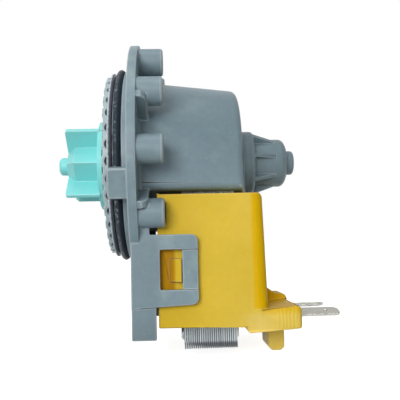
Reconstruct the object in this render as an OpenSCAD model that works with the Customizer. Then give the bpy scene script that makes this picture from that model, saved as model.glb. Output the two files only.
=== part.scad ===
// Drain pump for a washing machine: a moulded flange housing with a sealed rotor tube,
// a U-shaped laminated core, two coils under a snap-on cover, and a four-blade impeller.
// Millimetres. +X runs along the rotor axis from the impeller to the rear bearing, +Z is up.
// The origin lies on the rotor axis in the plane of the flange's front face.

/* [Flange] */
// Radius of the round mounting flange
flange_r = 39.5; // [39.2:0.1:43]
// Thickness of the flange
flange_t = 2.7; // [2:0.1:3.5]
// Radius of the circle that the screw bosses stand on
boss_circle_r = 34.6; // [34:0.1:35]
// Angle between neighbouring screw bosses
boss_pitch = 31; // [30:0.5:32]
// Outer radius of a screw boss
boss_r = 4.3; // [3.6:0.1:4.6]
// Where the screw bosses end behind the flange's front face
boss_end = 10.4; // [8:0.1:12]
// Radius of the screw holes
screw_hole_r = 2.2; // [1.6:0.1:2.7]
// Thickness of the gusset ribs behind the flange
gusset_t = 2.3; // [1.4:0.1:2.4]
// Where the gusset ribs end behind the flange's front face
gusset_end = 5.8; // [4.5:0.1:7]
// Length of the locating tab in front of the flange
key_len = 5.7; // [3:0.1:6.5]
// Width of the locating tab
key_w = 8.8; // [6:0.1:10]

/* [Spigot and seal ring] */
// Outer radius of the seal ring
seal_ring_r = 31.9; // [31.4:0.1:32.4]
// Thickness of the seal ring's round section
seal_ring_t = 2.3; // [2:0.1:2.6]
// Depth of the shoulder band between the flange and the seal ring
band_len = 2; // [1.4:0.1:2.6]
// How far the seal ring stands proud of the shoulder band
seal_proud = 0.8; // [0.4:0.1:1.2]

/* [Drum] */
// Radius of the drum where it leaves the flange
drum_front_r = 27.6; // [27.2:0.1:28.2]
// Draft angle of the drum's side
drum_draft = 5.75; // [4:0.25:6]
// Where the drum's rear rim ends
drum_end = 34.3; // [34.2:0.1:36]
// Wall of the drum
drum_wall = 2; // [1.4:0.1:2.4]
// How far the drum's flat underside lies below the rotor axis
drum_drop = 11; // [10.9:0.1:11.3]
// Radius that rounds the drum's rear rim and lower edges
drum_round = 2.3; // [1:0.1:2.6]
// Height of the shallow dome on the drum's rear face
dome_h = 2.8; // [1.5:0.1:3.4]

/* [Rotor tube and rear bearing knob] */
// Outer radius of the rotor tube
tube_r = 10.9; // [10.6:0.05:10.9]
// Wall of the rotor tube
tube_wall = 1.3; // [1:0.05:1.5]
// Length of the rotor tube's collar behind the drum's rear rim
collar_len = 5.8; // [5.8:0.1:7.4]
// Radius of the bearing knob
knob_r = 8.1; // [7.7:0.1:9]
// Length of the bearing knob behind the collar, without its tip
knob_len = 11.3; // [10.4:0.1:13]
// Radius of the knob's tip
tip_r = 4.1; // [3:0.1:5]
// Length of the knob's tip
tip_len = 2.6; // [1:0.1:4]
// Number of ribs round the bearing knob
knob_ribs = 8; // [4:1:12]
// Thickness of a rib on the bearing knob
knob_rib_t = 1.2; // [0.8:0.1:1.8]

/* [Snap bracket] */
// Half the width over the bracket's two arms
arm_half_w = 29.4; // [29:0.1:30]
// Thickness of an arm
arm_t = 2.1; // [1.6:0.1:2.2]
// How far the arms reach behind the flange's front face
arm_end = 19.7; // [18.6:0.1:21]
// Top edge of an arm, below the rotor axis
arm_top = 24.1; // [22.4:0.1:25]
// Bottom edge of an arm, below the rotor axis
arm_bottom = 45.3; // [44:0.1:47]
// Length of an arm's window
window_len = 6.4; // [5.8:0.1:7]
// Height of an arm's window
window_h = 11.5; // [11:0.1:12]
// Bottom of the bracket's foot, below the rotor axis
foot_bottom = 54.3; // [53.6:0.1:56]
// Length of the foot
foot_len = 7.1; // [5:0.1:7.2]

/* [Coil cover] */
// Gap between the drum's underside and the top of the coil cover
cover_gap = 1.2; // [0.5:0.1:1.4]
// Front face of the coil cover
cover_front = 8.0; // [8:0.1:8.6]
// How far the coil cover reaches behind the drum's rear rim
cover_reach = 5.1; // [4.2:0.1:5.6]
// Gap between the coil cover and the bracket's arms
cover_side_gap = 0.4; // [0.3:0.05:0.6]
// Bottom edge of the coil cover, below the rotor axis
cover_bottom = 51.2; // [50.8:0.1:52]
// Wall of the coil cover
cover_wall = 1.6; // [1.2:0.1:1.7]
// Lean of the coil cover's rear face
cover_lean = 1.6; // [0:0.1:3]
// How far a snap barb stands out of the cover
barb_out = 2.2; // [1.2:0.1:2.5]

/* [Connector] */
// Top face of the connector block, below the rotor axis
block_top = 46.6; // [46.3:0.1:46.9]
// Bottom face of the connector block, below the rotor axis
block_bottom = 52.4; // [52:0.1:53.6]
// Length of the connector block behind the coil cover
block_len = 10.7; // [10:0.1:13]
// Width of a spade terminal
blade_w = 6.3; // [4.8:0.1:6.3]
// Thickness of a spade terminal
blade_t = 0.8; // [0.5:0.1:0.8]
// How far a spade terminal stands out of the block
blade_out = 15.2; // [10:0.1:16]
// Distance between the two spade terminals
blade_gap = 21.1; // [19:0.1:22]
// Turn of the spade terminals about their length
blade_roll = 13; // [0:1:16]
// Length of the latch peg
peg_len = 9.7; // [5:0.1:11]

/* [Core and coils] */
// Thickness of the laminated stack
stack = 16.2; // [14:0.1:16.2]
// Width of a core leg
leg_w = 12; // [10:0.1:12.2]
// Distance between the centre lines of the core's legs
leg_pitch = 26.8; // [26.6:0.1:27]
// Height of the core's yoke
yoke_h = 10.3; // [8.5:0.1:10.3]
// Underside of the core, below the rotor axis
core_bottom = 58.5; // [57.8:0.1:59.6]
// Height of the core's pole ends above the rotor axis
pole_top = 10; // [7:0.1:10.2]
// Thickness of the bobbins' flanges
bobbin_t = 1.2; // [0.8:0.1:1.3]
// Radius of the core's rivets
rivet_r = 1.5; // [1:0.1:1.8]

/* [Rotor] */
// Radius of the rotor shaft
shaft_r = 2; // [1.5:0.1:2]
// Air gap between the rotor magnet and the rotor tube
rotor_gap = 0.5; // [0.4:0.05:0.8]
// Length of the rotor magnet
magnet_len = 24; // [20:0.1:24]
// Outer radius of the bearing bushes
bush_r = 4.2; // [3.4:0.1:4.6]
// Length of a bearing bush
bush_len = 9; // [6:0.1:9]
// Outer radius of the bushes' rubber mounts
mount_r = 6.35; // [6:0.05:6.4]
// End play of the rotor
end_play = 0.2; // [0.1:0.05:0.4]

/* [Front cap] */
// Radius of the front cap at the tips of its wavy rim
cap_r = 29.5; // [29:0.1:30.2]
// Thickness of the front cap's wavy rim
cap_t = 1.6; // [1.4:0.1:1.9]
// Radius of the plain lip behind the wavy rim
rim_lip_r = 30.6; // [30.3:0.1:31]
// Thickness of the plain lip
rim_lip_t = 1.4; // [1:0.1:1.6]
// Number of waves round the rim of the front cap
cap_waves = 36; // [24:1:40]
// Length of the raised centre of the front cap
cap_hub = 1.3; // [1:0.1:1.8]

/* [Impeller] */
// Radius at the tips of the impeller's blades
impeller_r = 15.2; // [15:0.1:17]
// Thickness of a blade
vane_t = 1.4; // [1.2:0.1:2.2]
// Number of blades
vane_count = 4; // [4:1:4]
// Length of the impeller's hub in front of its back disc
hub_len = 10.7; // [10:0.1:11.4]
// Width across the flats of the impeller's hub
hub_w = 17; // [15.6:0.1:17.6]
// Bevel of the hub's front edges
hub_bevel = 2.7; // [1.6:0.1:3]
// Wall of the hub round the driving dog
hub_wall = 1.6; // [1.4:0.1:2.2]
// Radius of the impeller's back disc
disc_r = 14.8; // [12:0.1:15.4]
// Thickness of the impeller's back disc
disc_t = 1.5; // [1.2:0.1:1.8]
// Length of the impeller's nose
nose_len = 3.5; // [2.6:0.1:4]
// Radius of the impeller's nose
nose_r = 3; // [2.8:0.1:3.6]
// Half the angle that the driving dog covers
dog_half = 35; // [20:1:38]

/* [Hidden] */
$fn = 72;

// Named clearances: running fits, seats of still pieces, and the overrun of cutting shapes.
run_gap = 0.04;
seat_gap = 0.1;
fit_gap = 0.2;
over = 1;

// Colours
grey = [0.48, 0.56, 0.59];
pale_grey = [0.72, 0.75, 0.78];
black = [0.14, 0.16, 0.19];
yellow = [0.86, 0.70, 0.12];
turquoise = [0.45, 0.80, 0.78];
steel = [0.66, 0.67, 0.69];
copper = [0.72, 0.40, 0.22];
cream = [0.90, 0.88, 0.80];
ferrite = [0.22, 0.21, 0.21];

// Places along the rotor axis, worked out from the front to the rear.
ring_x = -band_len - seal_gap() - seal_ring_t / 2;
spigot_r = seal_ring_r - seal_ring_t - seat_gap;
spigot_front = ring_x - seal_ring_t / 2 - 0.3;
cap_rear = spigot_front;
lip_front = cap_rear - rim_lip_t;
cap_front = lip_front - cap_t;
cap_hub_front = cap_front - cap_hub;
tube_in = tube_r - tube_wall;
collar_end = drum_end + collar_len;
knob_end = collar_end + knob_len;
magnet_r = tube_in - rotor_gap;
bearing_seat = collar_end - 1.8;
rear_bush_x = bearing_seat - 0.2;
knob_bore_end = rear_bush_x + bush_len + 0.8;
washer_t = 1;
end_cap_t = 1.4;
rear_washer_x = rear_bush_x - end_play - washer_t;
magnet_end = rear_washer_x - end_cap_t;
magnet_x = magnet_end - magnet_len;
front_cap_x = magnet_x - end_cap_t;
front_washer_x = front_cap_x - washer_t;
front_bush_x = front_washer_x - end_play - bush_len;
bush_mount_r = mount_r + 0.05;

// Places of the impeller.
impeller_gap = 0.5;
disc_rear = cap_hub_front - impeller_gap;
disc_front = disc_rear - disc_t;
hub_front = disc_front - hub_len;
vane_front = hub_front + 0.1;
nose_front = hub_front - nose_len;
chamber_r = hub_w / 2 - hub_wall;
chamber_front = hub_front + hub_bevel + 0.3;
shaft_front = nose_front + 1.8;

// Places of the core, the coils and the cover.
core_mid = magnet_x + magnet_len / 2;
core_x0 = core_mid - stack / 2;
leg_in = (leg_pitch - leg_w) / 2;
leg_out = (leg_pitch + leg_w) / 2;
pole_r = tube_r + fit_gap;
yoke_top = -core_bottom + yoke_h;
cover_top = -drum_drop - cover_gap;
cover_half_w = arm_half_w - arm_t - cover_side_gap;
cover_rear = drum_end + cover_reach;
coil_low = yoke_top + fit_gap;
coil_high = cover_top - cover_wall - fit_gap;
cavity_x0 = cover_front + cover_wall;
cavity_x1 = cover_rear - cover_wall;
cavity_y = cover_half_w - cover_wall;
coil_x0 = cavity_x0 + fit_gap;
coil_x1 = cavity_x1 - fit_gap;
coil_y0 = 0.4;
coil_y1 = cavity_y - fit_gap;
former_wall = 1;
window_x0 = arm_end - 4.6 - window_len;
window_top = arm_top + 4.4;

// Places of the connector.
block_end = cover_rear + block_len;
blade_z = -(block_top + 3);
block_wall = 1.6;
pocket_top = -(block_top + 1.5);
tongue_half = 4.6;
tongue_x0 = core_x0 + stack + 2;
tongue_y0 = blade_gap / 2 - tongue_half;
tongue_y1 = blade_gap / 2 + tongue_half;
tongue_bottom = blade_z - 1.7;
peg_half_w = 7;
ridge_half_w = 5.4;
gusset_turn = 24;
key_turn = 15.5;
rib_turn = 8;
peg_w = 5.4;
winding_round = 4;
peg_x = block_end - 7.5;

function seal_gap() = 0.1;

// The drum's radius at a place along the rotor axis.
function drum_at(x) = drum_front_r - (x - flange_t) * tan(drum_draft);

// Points of an arc, with its last point included.
function arc(cx, cy, r, a0, a1, n = 6) =
    [for (i = [0:n]) let (a = a0 + (a1 - a0) * i / n) [cx + r * cos(a), cy + r * sin(a)]];

// A rectangle whose corners at low x and at high x have their own radii.
function soft_rect(x0, y0, x1, y1, r0, r1) = concat(
    arc(x0 + r0, y0 + r0, r0, 180, 270),
    arc(x1 - r1, y0 + r1, r1, 270, 360),
    arc(x1 - r1, y1 - r1, r1, 0, 90),
    arc(x0 + r0, y1 - r0, r0, 90, 180));

// A solid turned about the rotor axis from points [x, radius].
module turned(points) {
    rotate([0, 90, 0])
        rotate_extrude()
            polygon([for (p = points) [p[1], p[0]]]);
}

// A round bar along the rotor axis.
module bar(r, x0, x1) {
    translate([x0, 0, 0])
        rotate([0, 90, 0])
            cylinder(r = r, h = x1 - x0);
}

// A round tube along the rotor axis.
module tube(r_in, r_out, x0, x1) {
    difference() {
        bar(r_out, x0, x1);
        bar(r_in, x0 - over, x1 + over);
    }
}

// An outline of points [x, z] drawn out along Y.
module side_plate(points, y0, y1) {
    translate([0, y1, 0])
        rotate([90, 0, 0])
            linear_extrude(y1 - y0)
                polygon(points);
}

// An outline of points [y, z] drawn out along X.
module end_plate(points, x0, x1) {
    translate([x0, 0, 0])
        rotate([90, 0, 90])
            linear_extrude(x1 - x0)
                polygon(points);
}

// A box between two corners.
module box(a, b) {
    translate(a)
        cube(b - a);
}

// The same shape on both sides of the pump.
module both_sides() {
    children();
    mirror([0, 1, 0])
        children();
}

// A sector of a disc about the rotor axis, centred on +Z, no wider than a half turn.
module sector(r, half, x0, x1) {
    reach = 2 * r;
    end_plate([
        [0, 0],
        [-reach * sin(half), reach * cos(half)],
        [reach * sin(half), reach * cos(half)]], x0, x1);
}

// Housing

// The drum's half outline: points [x, radius] from the flange to the rear rim and its dome.
function drum_edge() =
    let (fillet = 1.4, rim_r = drum_at(drum_end - drum_round) - drum_round * 1.02)
    concat(
        arc(flange_t + fillet, drum_at(flange_t) + fillet, fillet, 180, 262, 4),
        arc(drum_end - drum_round, rim_r, drum_round, 84, 12, 5),
        arc(drum_end + dome_h - 60, 0, 60, 19, 9, 5));

// The drum: round above the rotor axis, straight-sided below it, with a flat underside.
module drum_outer() {
    edge = drum_edge();
    start = flange_t - 0.6;
    outline = concat([[start, edge[0][1]]], edge);
    last = outline[len(outline) - 1];
    intersection() {
        union() {
            turned(concat([[start, 0]], outline, [[last[0], 0]]));
            translate([0, 0, -drum_drop])
                linear_extrude(drum_drop)
                    polygon(concat(outline, [for (i = [len(outline) - 1:-1:0]) [outline[i][0], -outline[i][1]]]));
        }
        box([0, -flange_r, -drum_drop], [drum_end + 2 * dome_h, flange_r, flange_r]);
    }
}

// What rounds one long lower edge of the drum.
module drum_edge_round() {
    translate([flange_t, drum_at(flange_t), -drum_drop])
        rotate([0, 0, -drum_draft])
            end_plate(concat(
                [[over, -over], [-drum_round, -over]],
                arc(-drum_round, drum_round, drum_round, -90, 0),
                [[over, drum_round]]), over, drum_end + over);
}

// The hollow between the drum and the rotor tube, which takes the core's poles.
module drum_hollow() {
    x0 = flange_t + drum_wall;
    x1 = drum_end - 1.4;
    half = [[x0, drum_at(x0) - drum_wall], [x1, drum_at(x1) - drum_wall]];
    difference() {
        intersection() {
            union() {
                turned(concat([[x0, 0]], half, [[x1, 0]]));
                translate([0, 0, -drum_drop])
                    linear_extrude(drum_drop)
                        polygon(concat(half, [[x1, -half[1][1]], [x0, -half[0][1]]]));
            }
            box([0, -flange_r, -drum_drop + drum_wall], [drum_end, flange_r, flange_r]);
        }
        bar(tube_r, 0, drum_end);
    }
}

// Slots under the drum for the legs of the core.
module leg_slots(z0, z1) {
    both_sides()
        box([core_x0 - fit_gap, leg_in - fit_gap, z0],
            [core_x0 + stack + fit_gap, leg_out + fit_gap, z1]);
}

// Places of the screw bosses: four on each side, with none at the top and under the drum.
boss_angles = [for (side = [0, 1], i = [-1:2]) side * 180 + (side == 0 ? 1 : -1) * i * boss_pitch];

module at_boss(a) {
    rotate([a - 90, 0, 0])
        translate([0, 0, boss_circle_r])
            children();
}

// A screw boss with a softened end.
module boss() {
    soft = 0.5;
    turned([[0, 0], [0, boss_r], [boss_end - soft, boss_r], [boss_end, boss_r - soft], [boss_end, 0]]);
}

// A radial gusset rib behind the flange.
module gusset(a) {
    rotate([a - 90, 0, 0])
        translate([0, gusset_t / 2, 0])
            rotate([90, 0, 0])
                linear_extrude(gusset_t)
                    polygon([
                        [flange_t - 0.5, drum_front_r - drum_wall],
                        [gusset_end, drum_front_r - drum_wall],
                        [gusset_end, flange_r - 2.6],
                        [gusset_end - 0.6, flange_r - 1.3],
                        [gusset_end - 1.8, flange_r - 0.4],
                        [flange_t - 0.5, flange_r - 0.4]]);
}

// The bearing knob's revolved body: collar, core, rounded end and tip.
module knob_body() {
    round_r = knob_r - tip_r;
    turned(concat(
        [[drum_end - 1, 0], [drum_end - 1, tube_r]],
        arc(collar_end - 1.1, tube_r - 1.1, 1.1, 90, 0, 4),
        [[collar_end, knob_r]],
        [for (p = arc(0, 0, round_r, 90, 12, 6))
            [knob_end - round_r * 0.62 + p[0] * 0.62, tip_r + p[1]]],
        [[knob_end, tip_r]],
        arc(knob_end + tip_len - 1, tip_r - 1, 1, 90, 0, 4),
        [[knob_end + tip_len, 0]]));
}

// A tapered rib from the collar down to the knob.
module knob_rib(a) {
    rotate([a, 0, 0])
        translate([0, knob_rib_t / 2, 0])
            rotate([90, 0, 0])
                linear_extrude(knob_rib_t)
                    polygon([
                        [collar_end - 1.3, knob_r - 0.6],
                        [collar_end - 1.3, tube_r - 0.1],
                        [collar_end + 0.2, tube_r - 0.3],
                        [collar_end + 7, knob_r + 0.1],
                        [collar_end + 7.6, knob_r - 0.6]]);
}

// An arm's outline, [x, z], with two rounded corners at the rear and a sloping lower edge.
function arm_outline() =
    let (r = 1.9, rise = 0.9, x0 = 0.3)
    concat(
        [[x0, -arm_top]],
        [[x0, -arm_bottom]],
        arc(arm_end - r, -arm_bottom + rise + r, r, 272, 360, 5),
        arc(arm_end - r, -arm_top - r, r, 0, 90, 5));

// One arm of the snap bracket, with the side of the foot below it.
module arm() {
    inner = arm_half_w - arm_t;
    step = 0.4;
    difference() {
        union() {
            side_plate(arm_outline(), inner, arm_half_w);
            box([0.3, inner, -arm_top - over], [gusset_end, arm_half_w, -boss_circle_r * sin(boss_pitch) - 2]);
        }
        box([window_x0, inner - over, -window_top - window_h],
            [window_x0 + window_len, arm_half_w + over, -window_top]);
        box([window_x0 + window_len - over, arm_half_w - step, -window_top - window_h],
            [arm_end + over, arm_half_w + over, -window_top]);
    }
    box([0.3, inner - step, -foot_bottom], [0.3 + foot_len, arm_half_w - step, -arm_bottom + over]);
}

// The wall across the front of the bracket, under the flange.
module bracket_front() {
    box([0.3, -arm_half_w, -arm_bottom], [flange_t + 0.2, arm_half_w, -arm_top - 2.8]);
    box([0.3, -arm_half_w + 0.4, -foot_bottom], [flange_t + 0.2, arm_half_w - 0.4, -arm_bottom + over]);
}

// The spigot that carries the seal ring, in front of the flange.
module spigot() {
    band_r = seal_ring_r - seal_proud;
    bar(band_r, -band_len, over);
    bar(spigot_r, spigot_front, over);
}

// The locating tab in front of the flange, beside the seal ring.
module locating_key() {
    soft = 1.2;
    rotate([180 + key_turn - 90, 0, 0])
        translate([0, 0, seal_ring_r + 1.2])
            linear_extrude(3.8)
                polygon(concat(
                    [[over, -key_w / 2], [over, key_w / 2]],
                    arc(-key_len + soft, key_w / 2 - soft, soft, 90, 180, 4),
                    arc(-key_len + soft, -key_w / 2 + soft, soft, 180, 270, 4)));
}

module housing() {
    color(grey)
        difference() {
            union() {
                difference() {
                    union() {
                        bar(flange_r, 0, flange_t);
                        drum_outer();
                    }
                    drum_hollow();
                    both_sides()
                        drum_edge_round();
                    leg_slots(-drum_drop - over, 0);
                }
                spigot();
                locating_key();
                knob_body();
                for (i = [0:knob_ribs - 1])
                    knob_rib(360 / knob_ribs * i - rib_turn);
                for (a = boss_angles)
                    at_boss(a)
                        boss();
                for (a = [-gusset_turn, gusset_turn, 90, 180 - gusset_turn, 180 + gusset_turn])
                    gusset(a);
                both_sides()
                    arm();
                bracket_front();
                bar(tube_r, 0, drum_end);
            }
            bar(tube_in, spigot_front - over, bearing_seat);
            bar(bush_mount_r, bearing_seat - over, knob_bore_end);
            tube(tube_r, spigot_r - 2.9, spigot_front - over, 0.7);
            for (a = boss_angles)
                at_boss(a)
                    bar(screw_hole_r, -over, boss_end + over);
        }
}

// Seal ring

module o_ring() {
    color(black)
        translate([ring_x, 0, 0])
            rotate([0, 90, 0])
                rotate_extrude()
                    translate([seal_ring_r - seal_ring_t / 2, 0])
                        circle(d = seal_ring_t, $fn = 32);
}

// Front cap

// One shallow radial groove across the rim of the front cap, cut from the front or the rear.
module rim_groove(a, x, depth) {
    r = 1.7;
    rotate([a, 0, 0])
        translate([x + (x > cap_front + cap_t / 2 ? r - depth : depth - r), 0, cap_r - 2.4])
            cylinder(r = r, h = 4, $fn = 32);
}

module front_cap() {
    hub_r = tube_in - seat_gap;
    pitch = 360 / cap_waves;
    color(pale_grey)
        difference() {
            union() {
                difference() {
                    bar(cap_r, cap_front, lip_front);
                    for (i = [0:cap_waves - 1]) {
                        rim_groove(pitch * i, cap_front, cap_t * 0.3);
                        rim_groove(pitch * (i + 0.5), lip_front, cap_t * 0.5);
                    }
                }
                bar(rim_lip_r, lip_front, cap_rear);
                bar(disc_r - 1.4, cap_hub_front, cap_rear);
                bar(hub_r, cap_front, front_washer_x - end_play);
                tube(spigot_r - 4.6, spigot_r - 3.1, cap_rear - 0.5, cap_rear + 2.6);
            }
            bar(bush_mount_r, cap_hub_front - over, cap_rear + 2.4);
            bar(bush_mount_r, front_bush_x - 0.1, front_washer_x + over);
            bar(shaft_r + 0.6, cap_hub_front, front_washer_x);
        }
}

// Shaft seal and bearings

// The lip seal: a rubber ring with a thin lip that bears on the shaft.
module shaft_seal() {
    x0 = cap_hub_front + 1.5;
    x1 = cap_rear + 2.4;
    lip_r = shaft_r + run_gap;
    color(black)
        turned([[x0, mount_r], [x0, mount_r - 1.6], [x1 - 1.6, mount_r - 1.8], [x0 + 0.4, lip_r + 0.7],
            [x0 + 0.1, lip_r], [x0 + 1.2, lip_r], [x1, mount_r - 2.6], [x1, mount_r]]);
}

module seal_retainer() {
    color(steel)
        tube(shaft_r + 1.2, mount_r, cap_hub_front + 0.2, cap_hub_front + 1.4);
}

// A plain bearing bush with chamfered ends.
module bush(x0) {
    soft = 0.4;
    color(copper)
        turned([[x0, shaft_r + run_gap], [x0, bush_r - soft], [x0 + soft, bush_r],
            [x0 + bush_len - soft, bush_r], [x0 + bush_len, bush_r - soft], [x0 + bush_len, shaft_r + run_gap]]);
}

module front_bush() {
    bush(front_bush_x);
}

module rear_bush() {
    bush(rear_bush_x);
}

// A rubber ring that holds a bush, with grooves round its outside.
module bush_mount(x0) {
    groove = 0.5;
    len = bush_len - 0.2;
    seat = bush_r + 0.05;
    color(black)
        turned([[x0, seat], [x0, mount_r], [x0 + len * 0.25, mount_r], [x0 + len * 0.3, mount_r - groove],
            [x0 + len * 0.4, mount_r - groove], [x0 + len * 0.45, mount_r], [x0 + len * 0.55, mount_r],
            [x0 + len * 0.6, mount_r - groove], [x0 + len * 0.7, mount_r - groove],
            [x0 + len * 0.75, mount_r], [x0 + len, mount_r], [x0 + len, seat]]);
}

module front_bush_mount() {
    bush_mount(front_bush_x + 0.1);
}

module rear_bush_mount() {
    bush_mount(bearing_seat);
}

// Core

module core() {
    color(steel)
        difference() {
            end_plate([
                [-leg_out, -core_bottom], [leg_out, -core_bottom], [leg_out, pole_top - 3],
                [leg_out - 3, pole_top], [leg_in, pole_top], [leg_in, yoke_top],
                [-leg_in, yoke_top], [-leg_in, pole_top], [-leg_out + 3, pole_top],
                [-leg_out, pole_top - 3]], core_x0, core_x0 + stack);
            bar(pole_r, core_x0 - over, core_x0 + stack + over);
            for (y = [-leg_pitch / 2, leg_pitch / 2])
                translate([0, y, -core_bottom + yoke_h * 0.4])
                    bar(rivet_r + 0.05, core_x0 - over, core_x0 + stack + over);
        }
}

// Two rivets that hold the stack together.
module core_rivets() {
    head_r = rivet_r * 1.5;
    head_h = 0.8;
    color(steel)
        for (y = [-leg_pitch / 2, leg_pitch / 2])
            translate([0, y, -core_bottom + yoke_h * 0.4])
                turned([[core_x0 - head_h, 0], [core_x0 - head_h, head_r - 0.5], [core_x0 - 0.3, head_r],
                    [core_x0, head_r], [core_x0, rivet_r], [core_x0 + stack, rivet_r],
                    [core_x0 + stack, head_r], [core_x0 + stack + 0.3, head_r],
                    [core_x0 + stack + head_h, head_r - 0.5], [core_x0 + stack + head_h, 0]]);
}

// Coils

// A closed ring round a core leg, between two heights: the leg's box grown by two amounts.
module leg_ring(grow_in, x0, x1, y0, y1, z0, z1, r) {
    translate([0, 0, z0])
        linear_extrude(z1 - z0)
            difference() {
                polygon(soft_rect(x0, y0, x1, y1, r, r));
                polygon(soft_rect(core_x0 - grow_in, leg_in - grow_in, core_x0 + stack + grow_in,
                    leg_out + grow_in, 0.3, 0.3));
            }
}

// A bobbin: a former with two flanges, and a tongue that carries its spade terminal.
module bobbin() {
    g = fit_gap;
    w = g + former_wall;
    color(cream)
        difference() {
            union() {
                leg_ring(g, core_x0 - w, core_x0 + stack + w, leg_in - w, leg_out + w, coil_low, coil_high, 0.8);
                leg_ring(g, coil_x0, coil_x1, coil_y0, coil_y1, coil_low, coil_low + bobbin_t, 1);
                leg_ring(g, coil_x0, coil_x1, coil_y0, coil_y1, coil_high - bobbin_t, coil_high, 1);
                box([tongue_x0, tongue_y0, tongue_bottom], [coil_x1, tongue_y1, coil_low + bobbin_t / 2]);
                box([tongue_x0, tongue_y0, tongue_bottom],
                    [block_end - block_wall - fit_gap, tongue_y1, pocket_top - fit_gap]);
            }
            terminal_shape(0.08);
        }
}

module bobbin_left() {
    mirror([0, 1, 0])
        bobbin();
}

module bobbin_right() {
    bobbin();
}

// A winding that fills its bobbin.
module winding() {
    w = fit_gap + former_wall + seat_gap;
    margin = 0.8;
    color(copper)
        leg_ring(w, coil_x0 + margin, coil_x1 - margin, coil_y0 + margin, coil_y1 - margin,
            coil_low + bobbin_t + seat_gap, coil_high - bobbin_t - seat_gap, winding_round);
}

module winding_left() {
    mirror([0, 1, 0])
        winding();
}

module winding_right() {
    winding();
}

// Coil cover

// The connector block, the ridge along its middle and the latch peg, as outlines [x, z].
function block_outline() =
    let (r = 2, x0 = cover_rear - 6.4, rise = 1)
    concat(
        [[x0, -block_top], [x0, -cover_bottom], [x0 + 1.2, -block_bottom - 0.8],
            [x0 + 1.9, -block_bottom - 0.9]],
        arc(block_end - 0.8, -block_bottom + 0.6, 0.6, 275, 360, 3),
        arc(block_end - r, -block_top + rise - r, r, 0, 84, 6),
        [[cover_rear - 3, -block_top - 0.4]]);

function ridge_outline() =
    let (x0 = cover_rear - over, x1 = block_end - 0.5, top = -block_top + 2.7)
    concat(
        [[x0, -block_bottom + over], [x0, top + 5.4], [x1 - 4.1, top + 0.3], [x1 - 3.4, top]],
        arc(x1 - 2, top - 2, 2, 90, 10, 6),
        [[x1, -block_bottom + over]]);

function peg_outline() =
    let (z1 = -block_bottom + over, z0 = -block_bottom - peg_len, w = peg_w, c = 1.1)
    [[peg_x, z1], [peg_x + 0.3, z0 + c], [peg_x + 0.3 + c, z0], [peg_x + w - c, z0], [peg_x + w, z0 + c],
        [peg_x + w + 0.1, z1]];

// The wedge that snaps into an arm's window.
module barb() {
    x1 = window_x0 + window_len - fit_gap;
    x0 = x1 - 3.4;
    z0 = -window_top - window_h / 2 - 3.7;
    z1 = -window_top - window_h / 2 + 3.1;
    translate([0, 0, z0])
        linear_extrude(z1 - z0)
            polygon([[x0, cover_half_w - over], [x0, cover_half_w + 0.4],
                [x1 - 0.6, cover_half_w + barb_out], [x1, cover_half_w + barb_out], [x1, cover_half_w - over]]);
}

module coil_cover() {
    color(yellow)
        difference() {
            union() {
                intersection() {
                    translate([cover_rear, 0, cover_top])
                        rotate([0, -cover_lean, 0])
                            translate([0, 0, -70])
                                linear_extrude(80)
                                    polygon(soft_rect(-60, -cover_half_w, 0, cover_half_w, 1, 3));
                    side_plate([[cover_front, cover_top + 0.6], [cover_front + 0.6, cover_top],
                        [cover_rear - 1, cover_top], [cover_rear + 0.2, cover_top - 1.2],
                        [cover_rear + 4, cover_top - 1.2], [cover_rear + 4, -cover_bottom],
                        [cover_front, -cover_bottom]], -cover_half_w, cover_half_w);
                }
                intersection() {
                    side_plate(block_outline(), -cover_half_w, cover_half_w);
                    translate([0, 0, -70])
                        linear_extrude(40)
                            polygon(soft_rect(cover_rear - 6.4, -cover_half_w, block_end, cover_half_w, 1, 1.6));
                }
                side_plate(ridge_outline(), -ridge_half_w, ridge_half_w);
                side_plate(peg_outline(), -peg_half_w, peg_half_w);
                both_sides()
                    barb();
            }
            box([cavity_x0, -cavity_y, -cover_bottom - over], [cavity_x1, cavity_y, cover_top - cover_wall]);
            both_sides()
                box([cavity_x1 - over, blade_gap / 2 - tongue_half - fit_gap, -block_bottom - 2 * over],
                    [block_end - block_wall, cavity_y, pocket_top]);
            leg_slots(cover_top - cover_wall - over, cover_top + over);
            for (a = [boss_angles[0], 180 - boss_angles[0]])
                at_boss(a)
                    bar(boss_r + fit_gap, cover_front - over, boss_end + fit_gap);
            both_sides()
                terminal_shape(0.12);
        }
}

// Spade terminals

// A spade terminal's blade with a rounded tip, its flat turned about its own length.
module terminal_shape(grow) {
    x0 = block_end - 10;
    x1 = block_end + blade_out;
    w = blade_w / 2 + grow;
    r = 2.2;
    translate([0, blade_gap / 2, blade_z])
        rotate([-blade_roll, 0, 0])
            translate([0, 0, -blade_t / 2 - grow])
                linear_extrude(blade_t + 2 * grow)
                    polygon(concat(
                        [[x0 - grow, -w], [x0 - grow, w]],
                        arc(x1 - r, w - r, r, 90, 0),
                        arc(x1 - r, -w + r, r, 0, -90)));
}

module terminal() {
    color(steel)
        difference() {
            terminal_shape(0);
            translate([block_end + blade_out - 4.6, blade_gap / 2, blade_z])
                rotate([-blade_roll, 0, 0])
                    translate([0, 0, -over])
                        cylinder(r = 0.85, h = 2 * over, $fn = 32);
        }
}

module terminal_left() {
    mirror([0, 1, 0])
        terminal();
}

module terminal_right() {
    terminal();
}

// The thermal fuse stands between the rounded corners of the windings, behind the cover's front.
module thermal_fuse() {
    r = 1.3;
    len = 12;
    color(steel)
        translate([cavity_x0 + r + seat_gap, 0, (coil_low + coil_high - len) / 2])
            cylinder(r = r, h = len);
}

// Rotor

module rotor_shaft() {
    soft = 0.3;
    x1 = rear_bush_x + bush_len - 0.2;
    color(steel)
        turned([[shaft_front, 0], [shaft_front, shaft_r - soft], [shaft_front + soft, shaft_r],
            [x1 - soft, shaft_r], [x1, shaft_r - soft], [x1, 0]]);
}

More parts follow.
